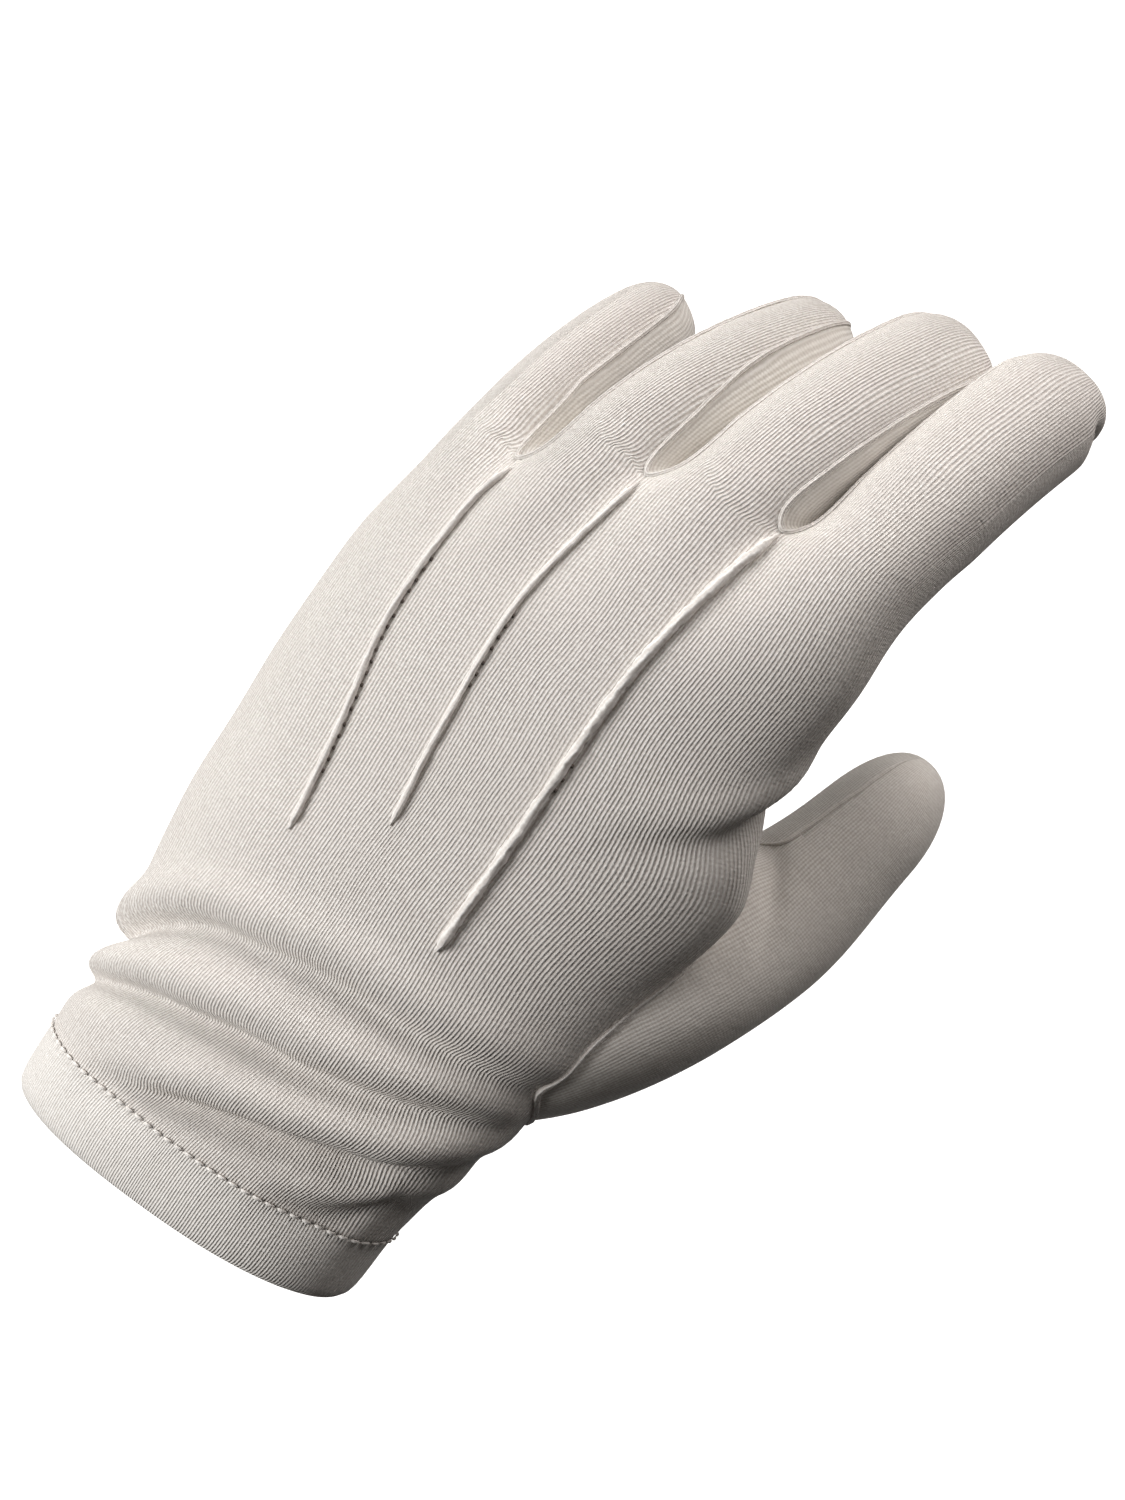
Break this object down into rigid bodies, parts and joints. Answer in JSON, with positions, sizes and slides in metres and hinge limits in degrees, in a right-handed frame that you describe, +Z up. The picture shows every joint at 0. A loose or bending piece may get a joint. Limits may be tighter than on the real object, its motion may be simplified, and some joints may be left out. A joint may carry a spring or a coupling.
{
  "type": "white parade glove",
  "caption": "Left-hand knit cotton dress glove in its worn form, with set-in thumb, finger side strips, back tucks and a turned-up stitched hem.",
  "frame": {"origin": "centre of the wrist opening", "axes": "+Y runs along the hand to the fingertips, +X points to the thumb side, +Z points up out of the back of the hand"},
  "size_m": [0.1212, 0.2327, 0.0721],
  "materials": {
    "cotton_knit": "fine ribbed bleached cotton knit, matt with a light nap",
    "strip_knit": "the same knit cut across its ribs, smoother",
    "hem_knit": "doubled cotton knit with a white running stitch",
    "tuck_knit": "pinched and oversewn cotton knit, slightly fuzzy"
  },
  "bodies": {
    "root": {"trank": "cotton_knit", "thumb": "cotton_knit", "fourchette_little_ring": "strip_knit", "fourchette_ring_middle": "strip_knit", "fourchette_middle_index": "strip_knit", "cuff_hem": "hem_knit", "tuck_little_ring": "tuck_knit", "tuck_ring_middle": "tuck_knit", "tuck_middle_index": "tuck_knit"}
  },
  "joints": []
}
